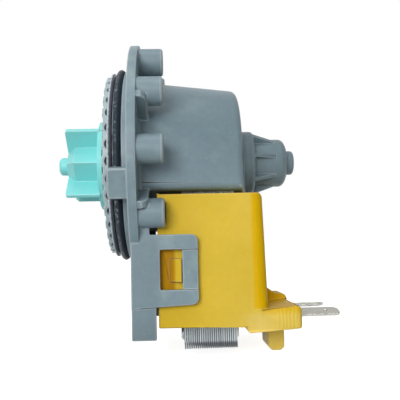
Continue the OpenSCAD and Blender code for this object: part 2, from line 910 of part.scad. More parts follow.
module rotor_magnet() {
    color(ferrite)
        tube(shaft_r + 0.02, magnet_r, magnet_x, magnet_end);
}

module rotor_cap_front() {
    color(cream)
        tube(shaft_r + 0.02, magnet_r - 0.3, front_cap_x, magnet_x);
}

module rotor_cap_rear() {
    color(cream)
        tube(shaft_r + 0.02, magnet_r - 0.3, magnet_end, rear_washer_x);
}

module thrust_washer_front() {
    color(pale_grey)
        tube(shaft_r + 0.02, bush_r + 0.3, front_washer_x, front_cap_x);
}

module thrust_washer_rear() {
    color(pale_grey)
        tube(shaft_r + 0.02, bush_r + 0.3, rear_washer_x, rear_washer_x + washer_t);
}

// The dog that is fixed to the shaft and drives the impeller after some free travel.
module drive_dog() {
    x0 = chamber_front + 0.4;
    x1 = disc_front - 0.4;
    color(cream)
        difference() {
            union() {
                bar(chamber_r - 1.4, x0, x1);
                intersection() {
                    bar(chamber_r - 0.3, x0, x1);
                    sector(chamber_r, dog_half, x0, x1);
                }
            }
            bar(shaft_r + 0.02, x0 - over, x1 + over);
        }
}

// Impeller

// A flat blade, from inside the hub's wall and its bevelled front out to the tip.
module vane(a) {
    root = chamber_r + hub_wall / 2;
    front_root = hub_w / 2 - hub_bevel - 0.6;
    rotate([a, 0, 0])
        translate([0, vane_t / 2, 0])
            rotate([90, 0, 0])
                linear_extrude(vane_t)
                    polygon([[disc_front + 0.4, root], [chamber_front - 0.6, root], [chamber_front - 0.6, front_root],
                        [vane_front, front_root], [vane_front, impeller_r - 0.5], [vane_front + 0.5, impeller_r],
                        [disc_front + 0.4, impeller_r]]);
}

// The square hub, with its front edges bevelled off.
module hub() {
    half = hub_w / 2;
    difference() {
        box([hub_front, -half, -half], [disc_front + 0.4, half, half]);
        for (a = [0:90:270])
            rotate([a, 0, 0])
                translate([0, 0, -half - over])
                    linear_extrude(hub_w + 2 * over)
                        polygon([[hub_front - over, half - hub_bevel - over], [hub_front - over, half + over],
                            [hub_front + hub_bevel + over, half + over]]);
    }
}

module impeller() {
    tilt = 1.7;
    color(turquoise)
        difference() {
            union() {
                bar(disc_r, disc_front, disc_rear);
                for (i = [0:vane_count - 1])
                    vane(360 / vane_count * (i + 0.5) + tilt);
                rotate([45 + tilt, 0, 0])
                    hub();
                turned(concat(
                    [[hub_front + 1, 0], [nose_front, 0]],
                    arc(nose_front + 1.2, nose_r - 1.2, 1.2, 180, 90, 4),
                    [[hub_front + 1, nose_r]]));
            }
            bar(shaft_r + run_gap, shaft_front - 0.2, disc_rear + over);
            difference() {
                bar(chamber_r, chamber_front, disc_rear + over);
                difference() {
                    rotate([180, 0, 0])
                        sector(chamber_r, dog_half, chamber_front - over, disc_front - 0.2);
                    bar(chamber_r - 1.1, chamber_front - 2 * over, disc_rear + 2 * over);
                }
            }
        }
}

// The ring that closes the impeller's hub behind the driving dog.
module impeller_ring() {
    color(turquoise)
        tube(shaft_r + run_gap, chamber_r - 0.02, disc_front, disc_rear - 0.1);
}

housing();
o_ring();
front_cap();
shaft_seal();
seal_retainer();
front_bush();
front_bush_mount();
rear_bush();
rear_bush_mount();
core();
core_rivets();
bobbin_left();
bobbin_right();
winding_left();
winding_right();
coil_cover();
terminal_left();
terminal_right();
thermal_fuse();
rotor_shaft();
rotor_magnet();
rotor_cap_front();
rotor_cap_rear();
thrust_washer_front();
thrust_washer_rear();
drive_dog();
impeller();
impeller_ring();
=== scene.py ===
"""A washing machine's drain pump, dressed for its photograph: moulded grey housing with a
sealed rotor tube, yellow coil cover on a laminated core, turquoise impeller in front."""
import math
import random

import bmesh
import bpy
from mathutils import Matrix, Vector
from mathutils.geometry import tessellate_polygon


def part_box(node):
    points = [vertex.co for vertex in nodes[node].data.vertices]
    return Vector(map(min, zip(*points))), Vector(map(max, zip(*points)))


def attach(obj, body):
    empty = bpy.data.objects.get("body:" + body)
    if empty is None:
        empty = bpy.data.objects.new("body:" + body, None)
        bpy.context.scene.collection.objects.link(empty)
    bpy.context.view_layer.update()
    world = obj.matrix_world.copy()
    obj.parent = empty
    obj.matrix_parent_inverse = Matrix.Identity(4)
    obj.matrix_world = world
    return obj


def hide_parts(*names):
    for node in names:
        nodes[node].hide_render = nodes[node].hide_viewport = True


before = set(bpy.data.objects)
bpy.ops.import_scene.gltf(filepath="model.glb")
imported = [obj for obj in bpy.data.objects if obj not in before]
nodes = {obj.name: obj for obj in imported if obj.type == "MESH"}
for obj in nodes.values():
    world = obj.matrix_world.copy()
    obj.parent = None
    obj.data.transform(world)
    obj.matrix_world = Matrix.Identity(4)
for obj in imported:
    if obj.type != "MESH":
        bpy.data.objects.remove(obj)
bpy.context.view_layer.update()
MM = 0.001


# Camera: a 52 mm lens on a 36 mm frame, 196 mm from the rotor axis, level with the coils and
# turned a little to the right and upwards, with the near side of the pump nearly square to it.
camera_data = bpy.data.cameras.new("photo_camera")
camera_data.sensor_fit = "HORIZONTAL"
camera_data.sensor_width = 36
camera_data.lens = 51.77
camera_data.clip_start = 0.01
camera = bpy.data.objects.new("photo_camera", camera_data)
bpy.context.scene.collection.objects.link(camera)
turn, tilt, roll = (math.radians(degrees) for degrees in (-2.57, 94.22, -1.33))
camera.matrix_world = (
    Matrix.Translation((13.13 * MM, -195.6 * MM, -26.62 * MM))
    @ Matrix.Rotation(turn, 4, "Z") @ Matrix.Rotation(tilt, 4, "X")
    @ Matrix.Rotation(roll, 4, "Z"))
bpy.context.scene.camera = camera
bpy.context.scene.view_settings.view_transform = "Standard"


# Light tent: a sky that is brighter on the near side and above, one broad lamp beside the
# camera, a weak one overhead, and a floor that the camera sees as white with a soft shadow.
def place(tree, kind, inputs=None, **settings):
    """Put a node in a tree, with its settings, and feed its inputs with values or sockets."""
    node = tree.nodes.new(kind)
    for key, value in settings.items():
        setattr(node, key, value)
    for key, value in (inputs or {}).items():
        socket = node.inputs[key]
        if isinstance(value, bpy.types.NodeSocket):
            tree.links.new(value, socket)
        else:
            socket.default_value = value
    return node


def seen_directly(tree):
    """A mask that is 1 for rays from the camera, from gloss and from clear pieces."""
    rays = place(tree, "ShaderNodeLightPath")
    mask = rays.outputs["Is Camera Ray"]
    for name in ("Is Glossy Ray", "Is Transmission Ray"):
        mask = place(tree, "ShaderNodeMath", {0: mask, 1: rays.outputs[name]},
                     operation="MAXIMUM").outputs[0]
    return mask


world = bpy.data.worlds.new("light_tent")
bpy.context.scene.world = world
world.use_nodes = True
sky = world.node_tree
sky.nodes.clear()
direction = place(sky, "ShaderNodeTexCoord").outputs["Generated"]
bright_side = Vector((-0.35, -0.90, 0.20)).normalized()
towards_light = place(sky, "ShaderNodeVectorMath", {0: direction, 1: bright_side},
                      operation="DOT_PRODUCT").outputs["Value"]
fill = place(sky, "ShaderNodeMapRange",
             {"Value": towards_light, "From Min": -0.8, "From Max": 1.0,
              "To Min": 0.08, "To Max": 0.45}).outputs[0]
strength = place(sky, "ShaderNodeMix", {0: seen_directly(sky), 2: fill, 3: 1.0}).outputs[0]
tent = place(sky, "ShaderNodeBackground", {"Color": (1, 1, 1, 1), "Strength": strength})
place(sky, "ShaderNodeOutputWorld", {"Surface": tent.outputs[0]})


def soft_lamp(name, where, towards, size, watts):
    """A square area lamp that looks at a point."""
    data = bpy.data.lights.new(name, "AREA")
    data.size = size
    data.energy = watts
    lamp = bpy.data.objects.new(name, data)
    bpy.context.scene.collection.objects.link(lamp)
    lamp.location = where
    lamp.rotation_euler = (Vector(towards) - Vector(where)).to_track_quat("-Z", "Y").to_euler()


soft_lamp("lamp_near", (-0.36, -1.04, 0.26), (0.02, 0, -0.03), 0.5, 8.0)
soft_lamp("lamp_over", (-0.10, -0.20, 0.60), (0.02, 0, 0), 0.40, 1.1)

floor_data = bpy.data.meshes.new("floor")
floor_z = min(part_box(name)[0].z for name in nodes)
reach = 3.0
corners = [(-reach, -reach), (reach, -reach), (reach, reach), (-reach, reach)]
floor_data.from_pydata([(x, y, floor_z) for x, y in corners], [], [(0, 1, 2, 3)])
floor = bpy.data.objects.new("floor", floor_data)
bpy.context.scene.collection.objects.link(floor)
white_floor = bpy.data.materials.new("white_floor")
white_floor.use_nodes = True
tree = white_floor.node_tree
tree.nodes.clear()
direct = seen_directly(tree)
shade = place(tree, "ShaderNodeMix", {0: direct, 2: 0.6, 3: 0.9})
matte = place(tree, "ShaderNodeBsdfDiffuse", {"Color": shade.outputs[0]})
glow = place(tree, "ShaderNodeEmission", {"Strength": 0.86})
both = place(tree, "ShaderNodeAddShader", {0: matte.outputs[0], 1: glow.outputs[0]})
choice = place(tree, "ShaderNodeMixShader", {0: direct, 1: matte.outputs[0], 2: both.outputs[0]})
place(tree, "ShaderNodeOutputMaterial", {"Surface": choice.outputs[0]})
floor_data.materials.append(white_floor)


# Housing: one injection moulding in grey filled polypropylene, with a round screw flange, the
# drum over the core's poles, the closed rotor tube and the snap bracket for the coil cover.
def colour(code):
    """A web colour code as the linear colour that the shaders take."""
    parts = [int(code[i:i + 2], 16) / 255 for i in (1, 3, 5)]
    return tuple(c / 12.92 if c <= 0.04045 else ((c + 0.055) / 1.055) ** 2.4 for c in parts) + (1,)


def add_piece(name, mesh):
    """A new object at the origin for a mesh."""
    piece = bpy.data.objects.new(name, mesh)
    bpy.context.scene.collection.objects.link(piece)
    return piece


def applied(piece, name):
    """The piece with its modifiers made real, under its final name."""
    bpy.context.view_layer.update()
    graph = bpy.context.evaluated_depsgraph_get()
    mesh = bpy.data.meshes.new_from_object(piece.evaluated_get(graph))
    bpy.data.objects.remove(piece)
    mesh.name = name
    return add_piece(name, mesh)


same_place = 0.002 * MM
flat_angle = math.radians(0.4)
crease_angle = math.radians(50)
least_fold = 1e-10


def merged_copy(node):
    """A CAD node's shape as a clean mesh, its loose triangles merged and its flats made one."""
    work = bmesh.new()
    work.from_mesh(nodes[node].data)
    bmesh.ops.remove_doubles(work, verts=work.verts, dist=same_place)
    bmesh.ops.dissolve_limit(work, angle_limit=flat_angle, verts=work.verts,
                             edges=work.edges, use_dissolve_boundaries=False)
    return work


def facing(a, b, c):
    """The way that a triangle faces, as long as twice its area."""
    return (b - a).cross(c - a)


def refill(mesh):
    """Split again the many-sided faces that would fold over themselves when cut up."""
    work = bmesh.new()
    work.from_mesh(mesh)
    folded = {}
    for loops in work.calc_loop_triangles():
        if facing(*(loop.vert.co for loop in loops)).dot(loops[0].face.normal) < -least_fold:
            folded[loops[0].face] = True
    for face in folded:
        corners = face.verts[:]
        parts = tessellate_polygon([[v.co / MM for v in corners]])
        if len(parts) != len(corners) - 2:
            continue
        ways = [facing(*(corners[i].co for i in part)) for part in parts]
        same_way = max(ways, key=lambda way: way.length).dot(face.normal) > 0
        smooth, kind = face.smooth, face.material_index
        work.faces.remove(face)
        for part in parts:
            ordered = part if same_way else part[::-1]
            try:
                small = work.faces.new([corners[i] for i in ordered])
            except ValueError:  # that face is there already
                continue
            small.smooth, small.material_index = smooth, kind
    work.to_mesh(mesh)
    work.free()


def softened(node, name, width, angle=32, share=None, cutter=None):
    """A copy of a CAD node whose sharp edges are rounded as a mould leaves them.

    share(middle) gives the part of the width that an edge takes, from where its middle is in
    mm. The rounded faces, told by a second material slot, get 1 in the attribute edge."""
    mesh = bpy.data.meshes.new(name + "_work")
    work = merged_copy(node)
    weight = work.edges.layers.float.new("bevel_weight_edge")
    for edge in work.edges:
        if len(edge.link_faces) == 2 and edge.calc_face_angle(0) > math.radians(angle):
            middle = (edge.verts[0].co + edge.verts[1].co) / 2 / MM
            edge[weight] = share(middle) if share else 1
    work.to_mesh(mesh)
    work.free()
    for slot in range(2):
        mesh.materials.append(None)
    mesh.shade_smooth()
    piece = add_piece(name + "_work", mesh)
    if cutter:
        groove = piece.modifiers.new("groove", "BOOLEAN")
        groove.operation = "DIFFERENCE"
        groove.solver = "EXACT"
        groove.object = cutter
    bevel = piece.modifiers.new("rounding", "BEVEL")
    bevel.width = width
    bevel.segments = 2
    bevel.limit_method = "WEIGHT"
    bevel.material = 1
    bevel.use_clamp_overlap = False
    bevel.miter_outer = "MITER_ARC"
    piece = applied(piece, name + "_rounded")
    refill(piece.data)
    piece.data.set_sharp_from_angle(angle=crease_angle)
    shading = piece.modifiers.new("shading", "WEIGHTED_NORMAL")
    shading.weight = 90
    shading.keep_sharp = True
    piece = applied(piece, name)
    mesh = piece.data
    rounded = mesh.attributes.new("edge", "FLOAT", "FACE")
    for i, polygon in enumerate(mesh.polygons):
        rounded.data[i].value = polygon.material_index
        polygon.material_index = 0
    mesh.materials.clear()
    return piece


def effect(name, inputs, outputs):
    """An empty shader node group with its named inputs and outputs."""
    group = bpy.data.node_groups.new(name, "ShaderNodeTree")
    for label, kind, value in inputs:
        socket = group.interface.new_socket(name=label, in_out="INPUT", socket_type=kind)
        socket.default_value = value
    for label, kind in outputs:
        group.interface.new_socket(name=label, in_out="OUTPUT", socket_type=kind)
    start = place(group, "NodeGroupInput").outputs
    end = place(group, "NodeGroupOutput").inputs
    return group, start, end


def maths(tree, operation, first, second, third=0.0, clamp=False):
    """One step of arithmetic on values or sockets."""
    return place(tree, "ShaderNodeMath", {0: first, 1: second, 2: third},
                 operation=operation, use_clamp=clamp).outputs[0]


def times(tree, first, *others):
    """The product of masks or values."""
    for other in others:
        first = maths(tree, "MULTIPLY", first, other)
    return first


def object_noise(tree, scale, detail=2.0, stretch=(1, 1, 1), offset=(0, 0, 0), rough=0.5):
    """Noise on the piece's own coordinates, scale features a metre."""
    coords = place(tree, "ShaderNodeTexCoord").outputs["Object"]
    turned = place(tree, "ShaderNodeMapping", {"Vector": coords, "Scale": stretch,
                                               "Location": offset})
    return place(tree, "ShaderNodeTexNoise",
                 {"Vector": turned.outputs[0], "Scale": scale, "Detail": detail,
                  "Roughness": rough}).outputs["Fac"]


COLOUR, VALUE, VECTOR = "NodeSocketColor", "NodeSocketFloat", "NodeSocketVector"

# What a mould leaves on a plastic: slow clouds from the flow of the melt, a fine spark-eroded
# grain, paler rounded edges (partly wear, partly a painted highlight) and a little handling dust.
moulded_skin, start, end = effect(
    "moulded_skin",
    [("Base", COLOUR, (0.5, 0.5, 0.5, 1)), ("Clouds", VALUE, 0.2), ("Grain", VALUE, 0.1),
     ("Edge wear", VALUE, 0.2), ("Dust", VALUE, 0.1), ("Roughness", VALUE, 0.45)],
    [("Color", COLOUR), ("Roughness", VALUE), ("Height", VALUE)])
cloud = object_noise(moulded_skin, 70, 3)
fine = object_noise(moulded_skin, 620, 4)
grain = object_noise(moulded_skin, 2600, 2)
sway = times(moulded_skin, maths(moulded_skin, "SUBTRACT", cloud, 0.5), start["Clouds"])
sway = maths(moulded_skin, "MULTIPLY_ADD", maths(moulded_skin, "SUBTRACT", fine, 0.5),
             start["Grain"], sway)
level = maths(moulded_skin, "ADD", sway, 1.0)
tinted = place(moulded_skin, "ShaderNodeVectorMath", {0: start["Base"], 3: level},
               operation="SCALE").outputs[0]
rounded = place(moulded_skin, "ShaderNodeAttribute", attribute_name="edge").outputs["Fac"]
# Rounded edges turn paler: partly wear, partly a painted highlight where light catches them.
worn_and_lit = times(moulded_skin, rounded, start["Edge wear"])
pale = place(moulded_skin, "ShaderNodeMix", {0: worn_and_lit, 6: tinted, 7: (0.75, 0.8, 0.82, 1)},
             data_type="RGBA").outputs[2]
specks = place(moulded_skin, "ShaderNodeMapRange",
               {"Value": object_noise(moulded_skin, 1500, 3, offset=(0.4, 0.1, 0.7)),
                "From Min": 0.66, "From Max": 0.74}).outputs[0]
dusty = place(moulded_skin, "ShaderNodeMix",
              {0: times(moulded_skin, specks, start["Dust"]), 6: pale,
               7: (0.62, 0.62, 0.60, 1)}, data_type="RGBA").outputs[2]
moulded_skin.links.new(dusty, end["Color"])
moulded_skin.links.new(
    maths(moulded_skin, "MULTIPLY_ADD", maths(moulded_skin, "SUBTRACT", fine, 0.5), 0.25,
          start["Roughness"], clamp=True), end["Roughness"])
moulded_skin.links.new(maths(moulded_skin, "MULTIPLY_ADD", grain, 0.35, fine), end["Height"])


def new_material(name):
    """A new material, with its tree and its surface shader."""
    material = bpy.data.materials.new(name)
    material.use_nodes = True
    tree = material.node_tree
    tree.nodes.clear()
    surface = place(tree, "ShaderNodeBsdfPrincipled")
    place(tree, "ShaderNodeOutputMaterial", {"Surface": surface.outputs[0]})
    return material, tree, surface


def moulded(name, base, rough, clouds=0.2, grain=0.12, wear_and_highlight=0.2, dust=0.15, relief=0.25,
            specular=0.4, ior=1.5, tint=None, ripples=None):
    """A moulded plastic or rubber.

    tint(tree) may give the base colour instead of base, and ripples(tree) more height."""
    material, tree, surface = new_material(name)
    skin = place(tree, "ShaderNodeGroup", node_tree=moulded_skin)
    for label, value in (("Clouds", clouds), ("Grain", grain), ("Edge wear", wear_and_highlight),
                         ("Dust", dust), ("Roughness", rough)):
        skin.inputs[label].default_value = value
    if tint:
        tree.links.new(tint(tree), skin.inputs["Base"])
    else:
        skin.inputs["Base"].default_value = colour(base)
    height = skin.outputs["Height"]
    if ripples:
        height = maths(tree, "ADD", height, ripples(tree))
    bump = place(tree, "ShaderNodeBump", {"Strength": relief, "Distance": 0.08 * MM,
                                          "Height": height})
    surface.inputs["Specular IOR Level"].default_value = specular
    surface.inputs["IOR"].default_value = ior
    tree.links.new(skin.outputs["Color"], surface.inputs["Base Color"])
    tree.links.new(skin.outputs["Roughness"], surface.inputs["Roughness"])
    tree.links.new(bump.outputs[0], surface.inputs["Normal"])
    return material


def blend(tree, mask, first, second):
    """Two colours, given as codes or sockets, mixed by a mask."""
    pair = [colour(c) if isinstance(c, str) else c for c in (first, second)]
    return place(tree, "ShaderNodeMix", {0: mask, 6: pair[0], 7: pair[1]},
                 data_type="RGBA").outputs[2]


def band(tree, low, high, axis=2):
    """A mask from 0 at low to 1 at high, in millimetres along an axis."""
    coords = place(tree, "ShaderNodeTexCoord").outputs["Object"]
    parts = place(tree, "ShaderNodeSeparateXYZ", {0: coords})
    return place(tree, "ShaderNodeMapRange",
                 {"Value": parts.outputs[axis], "From Min": low * MM,
                  "From Max": high * MM}).outputs[0]


def housing_colour_and_shade(tree):
    """Grey with pale bloom where the melt met, darker on plate and foot, painted shade on drum and
    knob.
    """
    bloom = place(tree, "ShaderNodeMapRange",
                  {"Value": object_noise(tree, 130, 3, offset=(0.2, 0.5, 0.1)),
                   "From Min": 0.52, "From Max": 0.72, "To Max": 0.45}).outputs[0]
    tones = blend(tree, bloom, "#748891", "#90A8A6")
    drum = times(tree, band(tree, -9, 4), band(tree, 24, 19), band(tree, 8.5, 10.5, 0),
                 band(tree, -26.5, -25, 1))
    plate = times(tree, band(tree, 9.5, 8, 0), band(tree, -23, -26))
    foot = band(tree, -45, -54.5)
    knob = band(tree, 37.4, 38.2, 0)
    # Painted shade darkens the drum's sides and the knob; the plate and the foot are darker too.
    for mask, strength, code in ((drum, 0.55, "#5E737B"), (plate, 0.35, "#5E737B"),
                                 (foot, 0.55, "#5A686E"), (knob, 0.9, "#62757C")):
        tones = blend(tree, times(tree, mask, strength), tones, code)
    return tones


def housing_share(middle):
    """Softer rounding at the key on the flange, finer at the knob's close ribs, and finer on the
    flange's rear and the spigot, whose many-sided faces fold under a wide one."""
    radius = middle.yz.length
    on_key = middle.x < -0.5 and middle.y < -24 and -14.5 < middle.z < -2
    at_knob = middle.x > 35.8 and radius < 14
    flange_rear = 2.4 < middle.x < 3.2 and radius > 24
    spigot_front = middle.x < -4.3
    inside_spigot = middle.x < 1 and radius < 27
    if on_key:
        return 1
    if at_knob:
        return 0.17
    return 0.2 if flange_rear or spigot_front or inside_spigot else 0.58


grey_plastic = moulded("grey_plastic", None, 0.42, clouds=0.3, grain=0.26, wear_and_highlight=0.2,
                       tint=housing_colour_and_shade)
housing = softened("housing", "housing_moulding", 0.6 * MM, share=housing_share)
housing.data.materials.append(grey_plastic)
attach(housing, "stator")
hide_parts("housing")


# Seal ring: a black rubber ring of round section with the mould's thin flash line on it,
# stretched over the spigot. Pale specks on its front shoulder are a painted speckled highlight.
def revolved(name, profile, steps):
    """A closed ring turned about the rotor axis from a closed profile of x and radius in mm."""
    work = bmesh.new()
    rings = []
    for i in range(steps):
        angle = 2 * math.pi * i / steps
        across, up = math.cos(angle) * MM, math.sin(angle) * MM
        rings.append([work.verts.new((x * MM, r * across, r * up)) for x, r in profile])
    for i in range(steps):
        near, far = rings[i], rings[(i + 1) % steps]
        for j in range(len(profile)):
            k = (j + 1) % len(profile)
            work.faces.new((near[j], near[k], far[k], far[j]))
    bmesh.ops.recalc_face_normals(work, faces=work.faces)
    mesh = bpy.data.meshes.new(name)
    work.to_mesh(mesh)
    work.free()
    mesh.shade_smooth()
    return add_piece(name, mesh)


ring_low, ring_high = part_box("o_ring")
ring_t = (ring_high.x - ring_low.x) / MM
ring_x = (ring_high.x + ring_low.x) / 2 / MM
ring_outside = ring_high.z / MM
ring_steps = 180
ring_sides = 36
flash = 0.05
flash_rise = {0: flash, 1: 0.03}
ring_profile = []
for i in range(ring_sides):
    angle = 2 * math.pi * i / ring_sides
    from_flash = min(abs(i - ring_sides // 4), abs(i - 3 * ring_sides // 4))
    swell = ring_t / 2 - flash + flash_rise.get(from_flash, 0)
    ring_profile.append((ring_x + swell * math.cos(angle),
                         ring_outside - ring_t / 2 + swell * math.sin(angle)))
seal_ring = revolved("seal_ring_rubber", ring_profile, ring_steps)


def rubber_and_highlight(tree):
    """Black rubber with a painted speckled highlight on the front shoulder."""
    streaks = object_noise(tree, 900, 5, stretch=(1.6, 1, 1), rough=0.65)
    # Painted highlight: pale specks on the front shoulder.
    highlight_specks = place(tree, "ShaderNodeMapRange", {"Value": streaks, "From Min": 0.53,
                                               "From Max": 0.62}).outputs[0]
    shoulder = times(tree, band(tree, ring_x + 0.1, ring_x - 0.35, 0),
                     band(tree, ring_x - 1.1, ring_x - 0.8, 0))
    return blend(tree, times(tree, highlight_specks, shoulder, 0.6), "#27313A", "#A3ADB5")


black_rubber = moulded("black_rubber", None, 0.48, clouds=0.35, grain=0.3, wear_and_highlight=0.1, dust=0.05,
                       relief=0.35, specular=0.5, ior=1.25, tint=rubber_and_highlight)
seal_ring.data.materials.append(black_rubber)
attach(seal_ring, "stator")
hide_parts("o_ring")


# Front cap: a pale grey moulding pressed into the spigot. Its rim carries a wavy ribbon in
# front of a plain lip, and its raised centre holds the shaft seal.
groove_front, groove_rear = -5.5, -4.2
groove_floor_r, groove_open_r = 29.6, 31.5
lip_groove = revolved("lip_groove_work",
                      [(groove_front, groove_floor_r), (groove_rear, groove_floor_r),
                       (groove_rear, groove_open_r), (groove_front, groove_open_r)], ring_steps)


def cap_tint(tree):
    """A pale lip, and a slightly greener ribbon in front of it."""
    return blend(tree, band(tree, -6.05, -6.2, 0), "#B4BBC7", "#9FB0B2")


cap_plastic = moulded("cap_plastic", None, 0.4, clouds=0.3, grain=0.2, wear_and_highlight=0.3, tint=cap_tint)
front_cap = softened("front_cap", "front_cap_moulding", 0.16 * MM, angle=38, cutter=lip_groove)
bpy.data.objects.remove(lip_groove)
front_cap.data.materials.append(cap_plastic)
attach(front_cap, "stator")
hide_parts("front_cap")


# Shaft seal, bushes and their mounts: a lipped rubber seal held by a pressed steel ring, and
# two sintered bronze bushes, soaked in oil, in soft rubber mounts.
metal_surface, start, end = effect(
    "metal_surface",
    [("Light", COLOUR, (0.7, 0.7, 0.7, 1)), ("Dark", COLOUR, (0.4, 0.4, 0.4, 1)),
     ("Stretch", VECTOR, (1, 1, 1)), ("Scale", VALUE, 400), ("Roughness", VALUE, 0.35)],
    [("Color", COLOUR), ("Roughness", VALUE), ("Height", VALUE)])
coords = place(metal_surface, "ShaderNodeTexCoord").outputs["Object"]
drawn = place(metal_surface, "ShaderNodeVectorMath", {0: coords, 1: start["Stretch"]},
              operation="MULTIPLY").outputs[0]
marks = place(metal_surface, "ShaderNodeTexNoise",
              {"Vector": drawn, "Scale": start["Scale"], "Detail": 4,
               "Roughness": 0.6}).outputs["Fac"]
contrast = place(metal_surface, "ShaderNodeMapRange",
                 {"Value": marks, "From Min": 0.3, "From Max": 0.7}).outputs[0]
mixed = place(metal_surface, "ShaderNodeMix",
              {0: contrast, 6: start["Dark"], 7: start["Light"]}, data_type="RGBA").outputs[2]
metal_surface.links.new(mixed, end["Color"])
metal_surface.links.new(
    maths(metal_surface, "MULTIPLY_ADD", maths(metal_surface, "SUBTRACT", marks, 0.5), 0.4,
          start["Roughness"], clamp=True), end["Roughness"])
metal_surface.links.new(marks, end["Height"])


def metal(name, light, dark, rough, scale=400, stretch=(1, 1, 1), relief=0.15, metallic=1.0,
          tint=None):
    """A metal with drawn, cast or sintered marks; tint(tree, colour) may change its colour."""
    material, tree, surface = new_material(name)
    skin = place(tree, "ShaderNodeGroup", node_tree=metal_surface)
    for label, value in (("Light", colour(light)), ("Dark", colour(dark)), ("Stretch", stretch),
                         ("Scale", scale), ("Roughness", rough)):
        skin.inputs[label].default_value = value
    look = skin.outputs["Color"]
    if tint:
        look = tint(tree, look)
    bump = place(tree, "ShaderNodeBump", {"Strength": relief, "Distance": 0.05 * MM,
                                          "Height": skin.outputs["Height"]})
    surface.inputs["Metallic"].default_value = metallic
    tree.links.new(look, surface.inputs["Base Color"])
    tree.links.new(skin.outputs["Roughness"], surface.inputs["Roughness"])
    tree.links.new(bump.outputs[0], surface.inputs["Normal"])
    return material


def dress(names, material):
    """Give CAD nodes that keep their own shape a material."""
    for name in names:
        nodes[name].data.materials.clear()
        nodes[name].data.materials.append(material)


seal_black = moulded("seal_black", "#24292D", 0.5, clouds=0.2, grain=0.3, dust=0.1)
bronze = metal("sintered_bronze", "#B98B52", "#7A5630", 0.42, scale=2200, relief=0.3)
pressed_steel = metal("pressed_steel", "#C6C8CA", "#9A9DA1", 0.3, scale=700)
dress(["shaft_seal", "front_bush_mount", "rear_bush_mount"], seal_black)
dress(["front_bush", "rear_bush"], bronze)
dress(["seal_retainer"], pressed_steel)


# Laminated core: 25 punched sheets of electrical steel in a stack, each a hair out of line
# with the next, their cut edges dark and bright by turns; two rivets hold them together.
core_low, core_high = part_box("core")
sheet_count = 25
sheet_pitch = (core_high.x - core_low.x) / sheet_count
sheet_t = sheet_pitch * 0.66
misfit = 0.03 * MM
work = merged_copy("core")
for face in [f for f in work.faces if f.normal.x > -0.9]:
    work.faces.remove(face)
for edge in [e for e in work.edges if not e.link_faces]:
    work.edges.remove(edge)
for vert in [v for v in work.verts if not v.link_edges]:
    work.verts.remove(vert)
grown = bmesh.ops.extrude_face_region(work, geom=work.faces[:])
for vert in [g for g in grown["geom"] if isinstance(g, bmesh.types.BMVert)]:
    vert.co.x += sheet_t
bmesh.ops.translate(work, verts=work.verts, vec=(-core_low.x, 0, 0))
bmesh.ops.recalc_face_normals(work, faces=work.faces)
sheet_mesh = bpy.data.meshes.new("core_sheet")
work.to_mesh(sheet_mesh)
work.free()
core_sheet = add_piece("core_sheet", sheet_mesh)


def geometry_group(name, inputs):
    """An empty Geometry Nodes group with a geometry in and out and its other named inputs."""
    group = bpy.data.node_groups.new(name, "GeometryNodeTree")
    for label, kind in (("Geometry", "NodeSocketGeometry"), *inputs):
        group.interface.new_socket(name=label, in_out="INPUT", socket_type=kind)
    group.interface.new_socket(name="Geometry", in_out="OUTPUT",
                               socket_type="NodeSocketGeometry")
    return group, place(group, "NodeGroupInput").outputs


stack_tree, given = geometry_group(
    "stack_of_sheets",
    [("Sheet", "NodeSocketObject"), ("Sheets", "NodeSocketInt"), ("Pitch", VALUE),
     ("First", VALUE), ("Misfit", VALUE), ("Steel", "NodeSocketMaterial")])
first_place = place(stack_tree, "ShaderNodeCombineXYZ", {"X": given["First"]}).outputs[0]
one_pitch = place(stack_tree, "ShaderNodeCombineXYZ", {"X": given["Pitch"]}).outputs[0]
spots = place(stack_tree, "GeometryNodeMeshLine",
              {"Count": given["Sheets"], "Start Location": first_place, "Offset": one_pitch},
              mode="OFFSET").outputs[0]
amount = place(stack_tree, "ShaderNodeCombineXYZ", {"Y": given["Misfit"], "Z": given["Misfit"]})
less = place(stack_tree, "ShaderNodeVectorMath", {0: amount.outputs[0], 3: -1.0},
             operation="SCALE")
slip = place(stack_tree, "FunctionNodeRandomValue",
             {"Min": less.outputs[0], "Max": amount.outputs[0], "Seed": 7},
             data_type="FLOAT_VECTOR").outputs[0]
slid = place(stack_tree, "GeometryNodeSetPosition", {"Geometry": spots, "Offset": slip})
one_sheet = place(stack_tree, "GeometryNodeObjectInfo", {"Object": given["Sheet"]})
stacked = place(stack_tree, "GeometryNodeInstanceOnPoints",
                {"Points": slid.outputs[0], "Instance": one_sheet.outputs["Geometry"]})
shade_value = place(stack_tree, "FunctionNodeRandomValue", {"Seed": 3}, data_type="FLOAT")
shaded = place(stack_tree, "GeometryNodeStoreNamedAttribute",
               {"Geometry": stacked.outputs[0], "Name": "sheet",
                "Value": shade_value.outputs[1]}, data_type="FLOAT", domain="INSTANCE")
real = place(stack_tree, "GeometryNodeRealizeInstances", {0: shaded.outputs[0]})
coated = place(stack_tree, "GeometryNodeSetMaterial",
               {"Geometry": real.outputs[0], "Material": given["Steel"]})
place(stack_tree, "NodeGroupOutput", {"Geometry": coated.outputs[0]})


def set_inputs(modifier, values):
    """Set a Geometry Nodes modifier's inputs by their names."""
    for item in modifier.node_group.interface.items_tree:
        if item.item_type == "SOCKET" and item.in_out == "INPUT" and item.name in values:
            modifier[item.identifier] = values[item.name]


